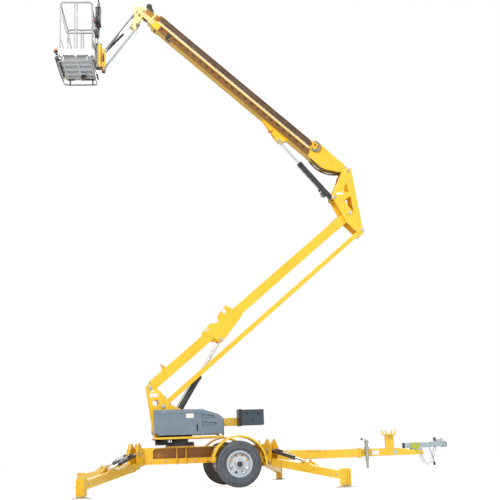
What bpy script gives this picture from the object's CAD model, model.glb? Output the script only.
import math

import bmesh
import bpy
from mathutils import Matrix, Vector


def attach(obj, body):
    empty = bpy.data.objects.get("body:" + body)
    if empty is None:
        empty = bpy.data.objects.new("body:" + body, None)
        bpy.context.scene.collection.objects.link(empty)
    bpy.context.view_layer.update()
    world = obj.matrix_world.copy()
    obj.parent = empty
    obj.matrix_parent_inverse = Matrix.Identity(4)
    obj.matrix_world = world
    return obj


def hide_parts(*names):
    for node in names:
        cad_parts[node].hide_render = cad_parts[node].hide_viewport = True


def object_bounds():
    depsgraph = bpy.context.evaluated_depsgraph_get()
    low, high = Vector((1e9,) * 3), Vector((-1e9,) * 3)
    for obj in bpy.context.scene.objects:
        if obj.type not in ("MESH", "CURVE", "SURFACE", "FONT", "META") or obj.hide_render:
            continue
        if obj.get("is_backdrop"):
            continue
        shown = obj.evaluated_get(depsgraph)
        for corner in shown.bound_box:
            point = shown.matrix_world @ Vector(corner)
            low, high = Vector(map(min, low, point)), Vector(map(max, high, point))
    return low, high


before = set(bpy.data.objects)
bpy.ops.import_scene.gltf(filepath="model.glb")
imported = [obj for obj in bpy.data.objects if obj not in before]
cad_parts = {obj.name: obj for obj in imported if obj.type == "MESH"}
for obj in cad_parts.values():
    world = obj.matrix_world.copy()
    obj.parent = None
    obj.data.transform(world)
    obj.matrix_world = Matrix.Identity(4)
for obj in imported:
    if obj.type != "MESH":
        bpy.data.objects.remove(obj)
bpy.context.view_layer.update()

# Camera: low on the near side, a little behind the axle, looking up along the raised booms.
# Its place, turn, rise and roll were fitted to the pins and beam ends seen in the photograph.
view_turn, view_rise, view_roll = math.radians(10.595), math.radians(12.206), math.radians(-2.048)
forward = Vector((
    math.sin(view_turn) * math.cos(view_rise),
    math.cos(view_turn) * math.cos(view_rise),
    math.sin(view_rise),
))
level_right = Vector((math.cos(view_turn), -math.sin(view_turn), 0))
level_up = level_right.cross(forward)
right = math.cos(view_roll) * level_right + math.sin(view_roll) * level_up
up = -math.sin(view_roll) * level_right + math.cos(view_roll) * level_up


def stand(name, data):
    """New object, placed in the scene."""
    thing = bpy.data.objects.new(name, data)
    bpy.context.collection.objects.link(thing)
    return thing


camera_data = bpy.data.cameras.new("camera")
camera_data.sensor_width = 36
camera_data.lens = 66.5
camera_data.clip_end = 200
camera = stand("camera", camera_data)
turn = Matrix((right, up, -forward)).transposed().to_4x4()
camera.matrix_world = Matrix.Translation((-3.1738, -16.8431, 0.6209)) @ turn
bpy.context.scene.camera = camera


class Nodes:
    """Short hand for one material's node tree. It notes which of the record's slots the finish fills."""

    def __init__(self, name, slot="none"):
        self.material = bpy.data.materials.new(name)
        self.material.use_nodes = True
        self.tree = self.material.node_tree
        self.tree.nodes.clear()
        self.shader = self.add("ShaderNodeBsdfPrincipled")
        output = self.add("ShaderNodeOutputMaterial")
        self.link(self.shader.outputs[0], output.inputs["Surface"])
        self.place = self.add("ShaderNodeTexCoord").outputs["Object"]

    def add(self, kind, **values):
        node = self.tree.nodes.new(kind)
        for key, value in values.items():
            if hasattr(node, key):
                setattr(node, key, value)
            else:
                node.inputs[key.replace("_", " ")].default_value = value
        return node

    def link(self, start, end):
        self.tree.links.new(start, end)

    def noise(self, scale, detail=4.0, stretch=(1, 1, 1), rough=0.55):
        mapping = self.add("ShaderNodeMapping")
        mapping.inputs["Scale"].default_value = stretch
        self.link(self.place, mapping.inputs["Vector"])
        node = self.add("ShaderNodeTexNoise", Scale=scale, Detail=detail, Roughness=rough)
        self.link(mapping.outputs[0], node.inputs["Vector"])
        return node.outputs[0]

    def ramp(self, value, stops):
        node = self.add("ShaderNodeValToRGB")
        first, last = node.color_ramp.elements
        for element, (place, colour) in zip((first, last), (stops[0], stops[-1])):
            element.position = place
            element.color = (*colour, 1)
        for place, colour in stops[1:-1]:
            element = node.color_ramp.elements.new(place)
            element.color = (*colour, 1)
        self.link(value, node.inputs[0])
        return node.outputs[0]

    def grey(self, value, low, high, start=0.35, end=0.65):
        node = self.add("ShaderNodeMapRange")
        for name, number in (("From Min", start), ("From Max", end), ("To Min", low), ("To Max", high)):
            node.inputs[name].default_value = number
        self.link(value, node.inputs["Value"])
        return node.outputs[0]

    def mix(self, share, first, second):
        node = self.add("ShaderNodeMix", data_type="RGBA")
        self.link(share, node.inputs[0])
        for slot, value in ((6, first), (7, second)):
            if isinstance(value, tuple):
                node.inputs[slot].default_value = (*value, 1)
            else:
                self.link(value, node.inputs[slot])
        return node.outputs[2]

    def sum_of(self, operation, *values):
        """Chain of one math operation over several outputs or numbers."""
        result = values[0]
        for value in values[1:]:
            node = self.add("ShaderNodeMath", operation=operation)
            self.link(result, node.inputs[0])
            if isinstance(value, (int, float)):
                node.inputs[1].default_value = value
            else:
                self.link(value, node.inputs[1])
            result = node.outputs[0]
        return result

    def product(self, *values):
        return self.sum_of("MULTIPLY", *values)

    def distance_along(self, start, direction):
        """Distance of the surface point from start, measured along a direction."""
        offset = self.add("ShaderNodeVectorMath", operation="SUBTRACT")
        self.link(self.place, offset.inputs[0])
        offset.inputs[1].default_value = start
        dot = self.add("ShaderNodeVectorMath", operation="DOT_PRODUCT")
        self.link(offset.outputs[0], dot.inputs[0])
        dot.inputs[1].default_value = direction
        return dot.outputs["Value"]

    def band(self, value, low, high, soft=0.002):
        """1 between two values of a distance, 0 outside, with a narrow soft edge."""
        rising = self.grey(value, 0.0, 1.0, low - soft, low + soft)
        falling = self.grey(value, 1.0, 0.0, high - soft, high + soft)
        return self.product(rising, falling)

    def facing(self, axis, start=0.35, end=0.9):
        """1 on faces that look along an axis, 0 on the others."""
        split = self.add("ShaderNodeVectorMath", operation="DOT_PRODUCT")
        self.link(self.add("ShaderNodeNewGeometry").outputs["Normal"], split.inputs[0])
        split.inputs[1].default_value = axis
        return self.grey(split.outputs["Value"], 0.0, 1.0, start, end)

    def bump(self, height, strength, distance=0.001, round_edges=0.0):
        node = self.add("ShaderNodeBump", Strength=strength, Distance=distance)
        self.link(height, node.inputs["Height"])
        if round_edges:
            edge = self.add("ShaderNodeBevel", samples=4)
            edge.inputs["Radius"].default_value = round_edges
            self.link(edge.outputs[0], node.inputs["Normal"])
        self.link(node.outputs[0], self.shader.inputs["Normal"])

    def colour(self, output):
        self.link(output, self.shader.inputs["Base Color"])

    def rough(self, output):
        self.link(output, self.shader.inputs["Roughness"])


def paint(name, light, deep, dust, gloss=(0.26, 0.42), coat=0.25, other=None, slot="yellow_paint"):
    """Sprayed paint: slow colour drift, orange peel, dust on level faces, small chips and, where
    other(nodes) gives a share and a colour, areas of a second finish."""
    m = Nodes(name, slot)
    body = m.ramp(m.noise(1.1, 5), ((0.34, deep), (0.68, light)))
    for share, colour in (other(m) if other else ()):
        body = m.mix(share, body, colour)
    speck = m.grey(m.noise(55, 6, rough=0.7), 0.0, 1.0, 0.62, 0.72)
    chipped = m.mix(m.product(speck, m.grey(m.noise(4, 3), 0.0, 0.7, 0.5, 0.62)), body, (0.16, 0.12, 0.08))
    dirt = m.product(m.facing((0, 0, 1)), m.grey(m.noise(3.2, 6), 0.1, 0.35, 0.35, 0.7))
    grime = m.product(m.facing((0, 0, -1)), m.grey(m.noise(7, 5), 0.15, 0.45))
    m.colour(m.mix(grime, m.mix(dirt, chipped, dust), (0.20, 0.13, 0.05)))
    m.rough(m.grey(m.noise(9, 5), *gloss))
    m.shader.inputs["Coat Weight"].default_value = coat
    m.shader.inputs["Coat Roughness"].default_value = 0.12
    m.bump(m.noise(420, 2), 0.10, 0.0006, 0.003)
    return m.material


def dress(material, *names):
    """Gives a finish to every slot of some CAD nodes."""
    for name in names:
        for slot in bpy.data.objects[name].material_slots:
            slot.material = material


def beam_recess(m):
    """The beam's sunk side panels between its stiffeners, in brown primer."""
    split = m.add("ShaderNodeSeparateXYZ")
    m.link(m.place, split.inputs[0])
    side = m.add("ShaderNodeMath", operation="ABSOLUTE")
    m.link(split.outputs["Y"], side.inputs[0])
    sunk = m.band(side.outputs[0], 0.05, 0.150, 0.006)
    high = m.band(split.outputs["Z"], 0.520, 0.702, 0.002)
    long = m.band(split.outputs["X"], -1.935, 0.055, 0.002)
    return ((m.product(sunk, high, long), (0.36, 0.145, 0.008)),)


yellow_light, yellow_deep, yellow_dust = (0.95, 0.60, 0.030), (0.90, 0.51, 0.018), (0.84, 0.70, 0.40)
yellow = paint("yellow_paint", yellow_light, yellow_deep, yellow_dust)
beam_paint = paint("beam_paint", yellow_light, yellow_deep, yellow_dust, other=beam_recess)
black = paint(
    "black_paint", (0.035, 0.037, 0.043), (0.018, 0.019, 0.022), (0.16, 0.15, 0.14), (0.28, 0.45),
    slot="black_paint",
)
dress(beam_paint, "chassis_frame")
dress(yellow, "tongue", "boom_rest", "fender_near", "fender_far")
dress(black, "axle", "slew_ring")


def piece_from(form, name, body, material, smooth=0.6, bevel=0.0):
    """Turns a bmesh into a finished piece: rounded edges, shading, finish and the body it rides on.

    Edges that turn by more than smooth (radians) stay sharp, and bevel rounds them by a width."""
    bmesh.ops.remove_doubles(form, verts=form.verts, dist=0.00002)
    if bevel:
        edges = [e for e in form.edges if len(e.link_faces) == 2 and e.calc_face_angle(0) > 0.5]
        bmesh.ops.bevel(form, geom=edges, offset=bevel, segments=2, affect="EDGES", clamp_overlap=True)
    bmesh.ops.recalc_face_normals(form, faces=form.faces)
    for face in form.faces:
        face.smooth = True
    for edge in form.edges:
        edge.smooth = len(edge.link_faces) == 2 and edge.calc_face_angle(0) < smooth
    mesh = bpy.data.meshes.new(name)
    form.to_mesh(mesh)
    form.free()
    piece = stand(name, mesh)
    mesh.materials.append(material)
    if body:
        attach(piece, body)
    return piece


def add_block(form, centre, size, turn=None):
    """Adds a rectangular block to a bmesh."""
    place = Matrix.Translation(centre) @ (turn.to_4x4() if turn else Matrix.Identity(4))
    bmesh.ops.create_cube(form, size=1, matrix=place @ Matrix.Diagonal((*size, 1)))


def add_plate(form, outline, low_y, high_y):
    """Adds a plate with an outline in X and Z, between two places across the machine."""
    near = [form.verts.new((x, low_y, z)) for x, z in outline]
    far = [form.verts.new((x, high_y, z)) for x, z in outline]
    form.faces.new(near)
    form.faces.new(list(reversed(far)))
    for i in range(len(outline)):
        j = (i + 1) % len(outline)
        form.faces.new((near[j], near[i], far[i], far[j]))


def add_turned(form, profile, centre, axis, steps=24, hollow=False):
    """Adds a turned shape from radius and height along the axis: closed ends, or an open ring."""
    turn = Vector((0, 0, 1)).rotation_difference(Vector(axis)).to_matrix()
    rings = []
    for radius, height in profile:
        ring = []
        for i in range(steps):
            angle = math.tau * i / steps
            spoke = Vector((radius * math.cos(angle), radius * math.sin(angle), height))
            ring.append(form.verts.new(Vector(centre) + turn @ spoke))
        rings.append(ring)
    for low, high in list(zip(rings, rings[1:])) + ([(rings[-1], rings[0])] if hollow else []):
        for i in range(steps):
            j = (i + 1) % steps
            form.faces.new((low[i], low[j], high[j], high[i]))
    if not hollow:
        form.faces.new(list(reversed(rings[0])))
        form.faces.new(rings[-1])


# Bolt heads and pin ends: zinc-plated steel, a washer and a six-sided head on every bolted joint,
# and a stepped cap on every pin. One tree of nodes sets them on a table of points, and later the
# treads, nuts, links and bars that also repeat.
def metal(name, light, deep, gloss, stretch=(1, 1, 1), scale=26, bump=0.15, slot="galvanised"):
    """Bare or plated metal with a mottled or drawn surface."""
    m = Nodes(name, slot)
    grain = m.noise(scale, 6, stretch)
    m.colour(m.ramp(grain, ((0.32, deep), (0.68, light))))
    m.rough(m.grey(m.noise(scale * 0.6, 5, stretch), *gloss))
    m.shader.inputs["Metallic"].default_value = 1.0
    m.bump(grain, bump, 0.0008, 0.002)
    return m.material


zinc = metal("zinc_plate", (0.62, 0.62, 0.60), (0.42, 0.42, 0.41), (0.30, 0.48), scale=70)
galvanised = metal("galvanised", (0.46, 0.48, 0.44), (0.33, 0.35, 0.32), (0.42, 0.58), scale=60)

repeat_tree = bpy.data.node_groups.new("set_on_points", "GeometryNodeTree")
for label, way, kind in (
    ("Points", "INPUT", "NodeSocketGeometry"),
    ("Shape", "INPUT", "NodeSocketObject"),
    ("Finish", "INPUT", "NodeSocketMaterial"),
    ("Mesh", "OUTPUT", "NodeSocketGeometry"),
):
    repeat_tree.interface.new_socket(label, in_out=way, socket_type=kind)
entry = repeat_tree.nodes.new("NodeGroupInput")
leave = repeat_tree.nodes.new("NodeGroupOutput")
shape_info = repeat_tree.nodes.new("GeometryNodeObjectInfo")
turn_read = repeat_tree.nodes.new("GeometryNodeInputNamedAttribute")
turn_read.data_type = "FLOAT_VECTOR"
turn_read.inputs["Name"].default_value = "turn"
to_rotation = repeat_tree.nodes.new("FunctionNodeEulerToRotation")
place_on = repeat_tree.nodes.new("GeometryNodeInstanceOnPoints")
realize = repeat_tree.nodes.new("GeometryNodeRealizeInstances")
set_finish = repeat_tree.nodes.new("GeometryNodeSetMaterial")
for start, end in (
    (entry.outputs["Points"], place_on.inputs["Points"]),
    (entry.outputs["Shape"], shape_info.inputs["Object"]),
    (shape_info.outputs["Geometry"], place_on.inputs["Instance"]),
    (turn_read.outputs[0], to_rotation.inputs[0]),
    (to_rotation.outputs[0], place_on.inputs["Rotation"]),
    (place_on.outputs[0], realize.inputs[0]),
    (realize.outputs[0], set_finish.inputs["Geometry"]),
    (entry.outputs["Finish"], set_finish.inputs["Material"]),
    (set_finish.outputs[0], leave.inputs["Mesh"]),
):
    repeat_tree.links.new(start, end)


def finished_mesh(thing):
    """Mesh of an object with its modifiers or curve settings applied."""
    bpy.context.view_layer.update()
    graph = bpy.context.evaluated_depsgraph_get()
    return bpy.data.meshes.new_from_object(thing.evaluated_get(graph))


def repeat(name, body, form, places, material):
    """One plain mesh of a small shape set on many points, each with its own turn."""
    shape = piece_from(form, name + "_shape", None, material)
    mesh = bpy.data.meshes.new(name + "_points")
    mesh.from_pydata([tuple(place) for place, turned in places], [], [])
    turns = mesh.attributes.new("turn", "FLOAT_VECTOR", "POINT")
    turns.data.foreach_set("vector", [v for place, turned in places for v in turned])
    points = stand(name + "_points", mesh)
    modifier = points.modifiers.new("set", "NODES")
    modifier.node_group = repeat_tree
    values = {"Shape": shape, "Finish": material}
    for item in repeat_tree.interface.items_tree:
        if item.name in values:
            modifier[item.identifier] = values[item.name]
    result = finished_mesh(points)
    result.name = name
    if "turn" in result.attributes:
        result.attributes.remove(result.attributes["turn"])
    bpy.data.objects.remove(points)
    bpy.data.objects.remove(shape)
    piece = stand(name, result)
    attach(piece, body)
    return piece


def bolt_form(radius=0.012, height=0.009):
    """Washer and six-sided head, standing on XY."""
    form = bmesh.new()
    add_turned(form, ((radius * 1.7, 0), (radius * 1.7, height * 0.3)), (0, 0, 0), (0, 0, 1), 16)
    add_turned(
        form, ((radius, height * 0.3), (radius, height), (radius * 0.82, height * 1.15)),
        (0, 0, 0), (0, 0, 1), 6
    )
    return form


def cap_form(radius):
    """Stepped pin end with a centre screw, standing on XY."""
    form = bmesh.new()
    profile = (
        (radius, 0), (radius, 0.006), (radius * 0.93, 0.008), (radius * 0.72, 0.008), (radius * 0.72, 0.014),
        (radius * 0.66, 0.016), (radius * 0.30, 0.016), (radius * 0.30, 0.022), (radius * 0.22, 0.024),
    )
    add_turned(form, profile, (0, 0, 0), (0, 0, 1), 20)
    return form


def on_sides(y, *places):
    """Bolts or caps that look out of both sides, a distance from the middle plane."""
    return [((x, side * y, z), side_face[side]) for x, z in places for side in (-1, 1)]


side_face, top_face = {-1: (math.pi / 2, 0, 0), 1: (-math.pi / 2, 0, 0)}, (0, 0, 0)
axle_x, slew_x = -0.511, -1.423
ring_bolts = [
    ((slew_x + 0.255 * math.cos(a), 0.255 * math.sin(a), 0.729), top_face)
    for a in (math.tau * (i + 0.5) / 24 for i in range(24))
]
repeat("slew_ring_bolts", "chassis", bolt_form(0.008, 0.008), ring_bolts, zinc)


def corner(hinge_x, hinge_y, pad_x, pad_y):
    """Place and heading of one outrigger, from its hinge to its pad."""
    run = Vector((pad_x - hinge_x, pad_y - hinge_y, 0))
    return Vector((hinge_x, hinge_y, 0)), run.normalized(), run.length


corners = {
    "rear_near": corner(-2.261, -0.430, -3.162, -2.500),
    "rear_far": corner(-2.261, 0.430, -3.162, 2.500),
    "front_near": corner(0.179, -0.430, 0.896, -2.500),
    "front_far": corner(0.179, 0.430, 0.896, 2.500),
}


def corner_place(name, ahead, aside, height):
    """Place in an outrigger's own frame: ahead to its pad, aside to its left, and height."""
    hinge, run, reach = corners[name]
    return hinge + run * ahead + Vector((-run.y, run.x, 0)) * aside + Vector((0, 0, height))


def corner_turn(name, side):
    """Turn of a bolt or cap that looks out of an outrigger's side, to its left or right."""
    hinge, run, reach = corners[name]
    out = Vector((-run.y, run.x, 0)) * side
    return tuple(Vector((0, 0, 1)).rotation_difference(out).to_euler())


hinge_caps, hinge_bolts = [], []
for name in corners:
    for side in (-1, 1):
        for ahead, height in ((0.0, 0.400), (-0.060, 0.600)):
            hinge_caps.append((corner_place(name, ahead, side * 0.085, height), corner_turn(name, side)))
        for ahead, height in ((-0.25, 0.64), (-0.25, 0.47), (-0.17, 0.64), (0.02, 0.66)):
            hinge_bolts.append((corner_place(name, ahead, side * 0.075, height), corner_turn(name, side)))
repeat("hinge_pin_caps", "chassis", cap_form(0.034), hinge_caps, zinc)
repeat("hinge_bolts", "chassis", bolt_form(0.010), hinge_bolts, zinc)
beam_bolts = on_sides(0.181, *((x, 0.475) for x in (-1.95, -1.70, -1.18, -0.95)))
beam_bolts += [((x, y, 0.4249), (math.pi, 0, 0)) for x in (-1.50, -1.34) for y in (-0.2, 0.2)]
repeat("beam_bolts", "chassis", bolt_form(0.011, 0.012), beam_bolts, zinc)


# Wheels: a sprayed silver disc with five nuts and a black hub cap, in a road tyre. The tyre is black
# rubber gone grey, with moulded rings on its wall and rows of tread blocks round its crown.
def moulded(name, light, deep, gloss, bump=0.25, scale=900, other=None, slot="dark_plastic"):
    """Moulded plastic or rubber: a fine even grain, with handling marks."""
    m = Nodes(name, slot)
    marks = m.grey(m.noise(6, 6), 0.0, 1.0, 0.3, 0.7)
    body = m.mix(marks, deep, light)
    for share, colour in (other(m) if other else ()):
        body = m.mix(share, body, colour)
    m.colour(body)
    m.rough(m.grey(m.noise(14, 5), *gloss))
    m.bump(m.noise(scale, 2), bump, 0.0005, 0.003)
    return m.material


silver = paint("wheel_silver", (0.62, 0.68, 0.73), (0.50, 0.56, 0.61), (0.52, 0.50, 0.46), (0.24, 0.40))
tyre_rubber = moulded(
    "tyre_rubber", (0.115, 0.128, 0.148), (0.075, 0.084, 0.098), (0.62, 0.80), 0.30, 500, slot="tyre"
)
dark_plastic = moulded("dark_plastic", (0.035, 0.037, 0.042), (0.020, 0.021, 0.025), (0.42, 0.60))
dress(silver, "rim_near", "rim_far")
dress(tyre_rubber, "tyre_near", "tyre_far")
wheel_z, wheel_y, nut_circle, tread_radius = 0.394, 0.860, 0.075, 0.3865
for side, name in ((-1, "near"), (1, "far")):
    out = (0, side, 0)
    body = "wheel_" + name
    nuts = []
    for i in range(5):
        a = math.tau * (i + 0.25) / 5
        across = side * (wheel_y + 0.0625)
        place = (axle_x + nut_circle * math.cos(a), across, wheel_z + nut_circle * math.sin(a))
        nuts.append((place, side_face[side]))
    repeat("wheel_nuts_" + name, body, bolt_form(0.011, 0.016), nuts, zinc)
    form = bmesh.new()
    cap = ((0.046, 0.0), (0.046, 0.012), (0.041, 0.030), (0.030, 0.038), (0.012, 0.041), (0.011, 0.036))
    add_turned(form, cap, (axle_x, side * (wheel_y + 0.093), wheel_z), out, 28)
    piece_from(form, "hub_cap_" + name, body, dark_plastic)
    # raised rings on the tyre's outer wall and where it meets the rim
    form = bmesh.new()
    steps = 72
    for low, high, proud in ((0.262, 0.270, 0.1145), (0.318, 0.324, 0.1165), (0.334, 0.342, 0.1135)):
        loops = []
        inside, outside = proud - 0.004, proud + 0.003
        for radius, depth in ((low, inside), (low, outside), (high, outside), (high, inside)):
            loops.append([
                form.verts.new((
                    axle_x + radius * math.cos(math.tau * i / steps),
                    side * (wheel_y + depth),
                    wheel_z + radius * math.sin(math.tau * i / steps),
                ))
                for i in range(steps)
            ])
        for first, second in zip(loops, loops[1:] + loops[:1]):
            for i in range(steps):
                j = (i + 1) % steps
                form.faces.new((first[i], first[j], second[j], second[i]))
    piece_from(form, "tyre_rings_" + name, body, tyre_rubber)
    # tread: five rows of slanted blocks round the crown
    block = bmesh.new()
    add_block(block, (0, 0, 0), (0.030, 0.026, 0.010), Matrix.Rotation(0.35, 3, "Z"))
    tread = []
    for row in range(-2, 3):
        drop = 0.0005 + 0.0009 * row * row
        for i in range(56):
            a = math.tau * (i + 0.5 * (row % 2)) / 56
            radius = tread_radius - drop
            across = side * wheel_y + row * 0.034
            place = (axle_x + radius * math.cos(a), across, wheel_z + radius * math.sin(a))
            tread.append((place, (0, math.pi / 2 - a, 0)))
    repeat("tyre_tread_" + name, body, block, tread, tyre_rubber)
    # two brackets and their bolts hold each fender
    bolts = [((axle_x + end * 0.454, side * 0.86 + s * 0.09, wheel_z + 0.1052), top_face)
             for end in (-1, 1) for s in (-1, 1)]
    repeat("fender_bolts_" + name, "chassis", bolt_form(0.009), bolts, zinc)


# Outriggers: yellow box arms with a square post and a plated foot, folded by black cylinders on
# plated rods. Each cylinder has a valve block at its base, a pipe along it and rings at its open end.
def foot_plate(m):
    """The dished foot under a post, plated instead of painted."""
    return ((m.band(m.distance_along((0, 0, 0), (0, 0, 1)), -1.0, 0.034), (0.42, 0.45, 0.41)),)


chrome = metal("chrome", (0.80, 0.80, 0.81), (0.70, 0.70, 0.72), (0.08, 0.16), (1, 1, 8), 20, 0.03)
arm_paint = paint("arm_paint", yellow_light, yellow_deep, yellow_dust, other=foot_plate)
dress(arm_paint, *["outrigger_" + name for name in corners])
dress(black, *["outrigger_barrel_" + name for name in corners])
dress(chrome, *["outrigger_rod_" + name for name in corners])


def smooth_line(name, points, steps):
    """Curve object that runs smoothly from the first point to the last, pulled by those between."""
    curve = bpy.data.curves.new(name, "CURVE")
    curve.dimensions = "3D"
    spline = curve.splines.new("NURBS")
    spline.points.add(len(points) - 1)
    for point, place in zip(spline.points, points):
        point.co = (*place, 1)
    spline.order_u = 3
    spline.use_endpoint_u = True
    spline.resolution_u = steps
    return stand(name, curve)


def make_round(line, radius):
    """Gives a curve object a round section with closed ends."""
    line.data.bevel_depth = radius
    line.data.bevel_resolution = 3
    line.data.use_fill_caps = True


def tube_mesh(name, points, radius):
    """Plain mesh of a round tube along one smooth line."""
    holder = smooth_line(name, points, 8)
    make_round(holder, radius)
    mesh = finished_mesh(holder)
    bpy.data.objects.remove(holder)
    return mesh


def pipe(name, body, points, radius, material):
    """Fixed pipe or bent bar along one smooth line."""
    return pipes(name, body, [points], radius, material)


def pipes(name, body, runs, radius, material):
    """Several fixed pipes as one piece."""
    form = bmesh.new()
    for points in runs:
        form.from_mesh(tube_mesh(name, points, radius))
    return piece_from(form, name, body, material, smooth=1.0)


def hose_rubber():
    """Black hose cover with a fine wrapped grain."""
    m = Nodes("hose_rubber", "dark_plastic")
    wrap = m.noise(160, 3, rough=0.6)
    m.colour(m.ramp(wrap, ((0.3, (0.016, 0.017, 0.019)), (0.7, (0.040, 0.041, 0.044)))))
    m.rough(m.grey(m.noise(20, 4), 0.38, 0.56))
    m.bump(wrap, 0.3, 0.0006)
    return m.material


rubber = hose_rubber()


def hose(name, body, points, diameter):
    """Hose or lead that hangs between its ends, as a smooth line of its real length."""
    line = smooth_line(name, points, 10)
    path = finished_mesh(line)
    make_round(line, diameter / 2)
    line.data.materials.append(rubber)
    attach(line, body)
    return line


for name in corners:
    hinge, run, reach = corners[name]
    arm_body = "outrigger_" + name
    form = bmesh.new()
    # round ribs pressed in the foot, and its rim
    for i in range(12):
        a = math.tau * i / 12
        out = Vector((math.cos(a), math.sin(a), 0))
        centre = corner_place(name, reach, 0, 0.0185) + out * 0.105
        tilt = Matrix.Rotation(a, 3, "Z") @ Matrix.Rotation(0.195, 3, "Y")
        add_block(form, centre, (0.105, 0.010, 0.008), tilt)
    piece_from(form, "foot_ribs_" + name, arm_body, galvanised, bevel=0.002)
    caps = []
    slope = (0.190 - 0.400) / (reach - 0.055)
    for side in (-1, 1):
        bolt_turn = corner_turn(name, side)
        for ahead, drop in ((0.36, -0.02), (0.36, 0.03), (reach - 0.16, 0.0), (reach - 0.34, 0.02)):
            caps.append((corner_place(name, ahead, side * 0.0552, 0.400 + slope * ahead - drop), bolt_turn))
    repeat("arm_bolts_" + name, arm_body, bolt_form(0.010, 0.008), caps, zinc)
    # pin through the arm's eye lugs
    arm_run = math.hypot(reach - 0.055, 0.210)
    cos_a, sin_a = (reach - 0.055) / arm_run, -0.210 / arm_run
    eye = (cos_a * reach * 0.5 - sin_a * 0.106, 0.400 + sin_a * reach * 0.5 + cos_a * 0.106)
    caps = [(corner_place(name, eye[0], side * 0.066, eye[1]), corner_turn(name, side)) for side in (-1, 1)]
    repeat("eye_pin_caps_" + name, arm_body, cap_form(0.030), caps, zinc)
    # valve block on the barrel, pipes along it and rings at its open end
    start = Vector(corner_place(name, -0.060, 0, 0.600))
    end = Vector(corner_place(name, eye[0], 0, eye[1]))
    axis = (end - start).normalized()
    across = Vector((-run.y, run.x, 0))
    above = axis.cross(across) * (1 if axis.cross(across).z > 0 else -1)
    turn_block = Matrix((axis, across, axis.cross(across))).transposed()
    form = bmesh.new()
    add_block(form, start + axis * 0.30 + above * 0.046, (0.110, 0.050, 0.042), turn_block)
    add_block(form, start + axis * 0.17 + above * 0.040, (0.040, 0.036, 0.028), turn_block)
    piece_from(form, "valve_block_" + name, "barrel_" + name, black, bevel=0.004)
    form = bmesh.new()
    length = (end - start).length
    for at, wide in ((0.66 * length - 0.030, 0.0385), (0.66 * length - 0.006, 0.0360)):
        add_turned(form, ((wide, 0), (wide, 0.018), (wide - 0.004, 0.021)), start + axis * at, axis, 24)
    piece_from(form, "gland_ring_" + name, "barrel_" + name, black)
    beside = start + across * 0.012
    pipe("barrel_pipes_" + name, "barrel_" + name, [
        beside + axis * 0.30 + above * 0.060, beside + axis * 0.42 + above * 0.062,
        beside + axis * (0.66 * length - 0.06) + above * 0.060,
        beside + axis * (0.66 * length - 0.03) + above * 0.030,
    ], 0.006, zinc)


# Tow end: the rest for the lower boom, the swing-up jack with its crank, and the ball coupler. Safety
# chains loop from the tongue to the coupler, and the lighting lead hangs with its plug between them.
coupler_blue = metal("coupler_zinc", (0.40, 0.46, 0.48), (0.24, 0.29, 0.31), (0.36, 0.52), scale=45)
dress(coupler_blue, "coupler")
dress(galvanised, "jack_tube", "jack_leg")


def catenary(start, end, low, count):
    """Points of a chain that hangs between two places, down to a height."""
    start, end = Vector(start), Vector(end)
    points = []
    for i in range(count + 1):
        t = i / count
        place = start.lerp(end, t)
        place.z -= 4 * t * (1 - t) * ((start.z + end.z) / 2 - low)
        points.append(place)
    return points


def link_form():
    """One oval chain link lying along X."""
    form = bmesh.new()
    ring = []
    for i in range(16):
        a = math.tau * i / 16
        shift = 0.009 if math.cos(a) > 0 else -0.009
        centre = Vector((shift + 0.011 * math.cos(a), 0.011 * math.sin(a), 0))
        out = Vector((math.cos(a), math.sin(a), 0))
        ring.append([
            form.verts.new(centre + out * 0.0035 * math.cos(b) + Vector((0, 0, 0.0035 * math.sin(b))))
            for b in (math.tau * k / 6 for k in range(6))
        ])
    for first, second in zip(ring, ring[1:] + ring[:1]):
        for k in range(6):
            j = (k + 1) % 6
            form.faces.new((first[k], second[k], second[j], first[j]))
    return form


for side, name in ((-1, "near"), (1, "far")):
    links = []
    route = catenary((3.075, side * 0.058, 0.455), (3.372, side * 0.050, 0.560), 0.245, 160)
    travelled, target, number = 0.0, 0.0, 0
    for first, second in zip(route, route[1:]):
        travelled += (second - first).length
        if travelled >= target:
            along_link = (second - first).normalized()
            roll = Matrix.Rotation(math.pi / 2 * (number % 2), 3, "X")
            side_way = Vector((0, 1, 0))
            turned = Matrix((along_link, side_way, along_link.cross(side_way))).transposed() @ roll
            links.append((first.lerp(second, 0.5), tuple(turned.to_euler())))
            target += 0.031
            number += 1
    repeat("safety_chain_" + name, "chassis", link_form(), links, zinc)
form = bmesh.new()
for side in (-1, 1):
    # eyes that hold the chains, and hooks at the coupler's cheeks
    add_turned(form, ((0.016, -0.005), (0.016, 0.005)), (3.075, side * 0.053, 0.458), (0, 1, 0), 16)
    add_block(form, (3.372, side * 0.044, 0.566), (0.030, 0.016, 0.040))
piece_from(form, "chain_eyes", "chassis", zinc, bevel=0.003)

form = bmesh.new()
add_turned(
    form, ((0.010, -0.040), (0.013, -0.020), (0.022, -0.014), (0.022, 0.034), (0.020, 0.038), (0.011, 0.038)),
    (3.305, -0.086, 0.262), (0.10, 0, -1), 20,
)
add_block(form, (3.300, -0.066, 0.272), (0.018, 0.010, 0.040))
plug = piece_from(form, "lead_plug", "chassis", dark_plastic, bevel=0.001)
hose("lighting_lead", "chassis", [
    (3.235, -0.050, 0.560), (3.236, -0.082, 0.545), (3.242, -0.090, 0.490), (3.262, -0.091, 0.430),
    (3.286, -0.089, 0.375), (3.298, -0.087, 0.325), (3.3015, -0.086, 0.300),
], 0.011)

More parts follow.
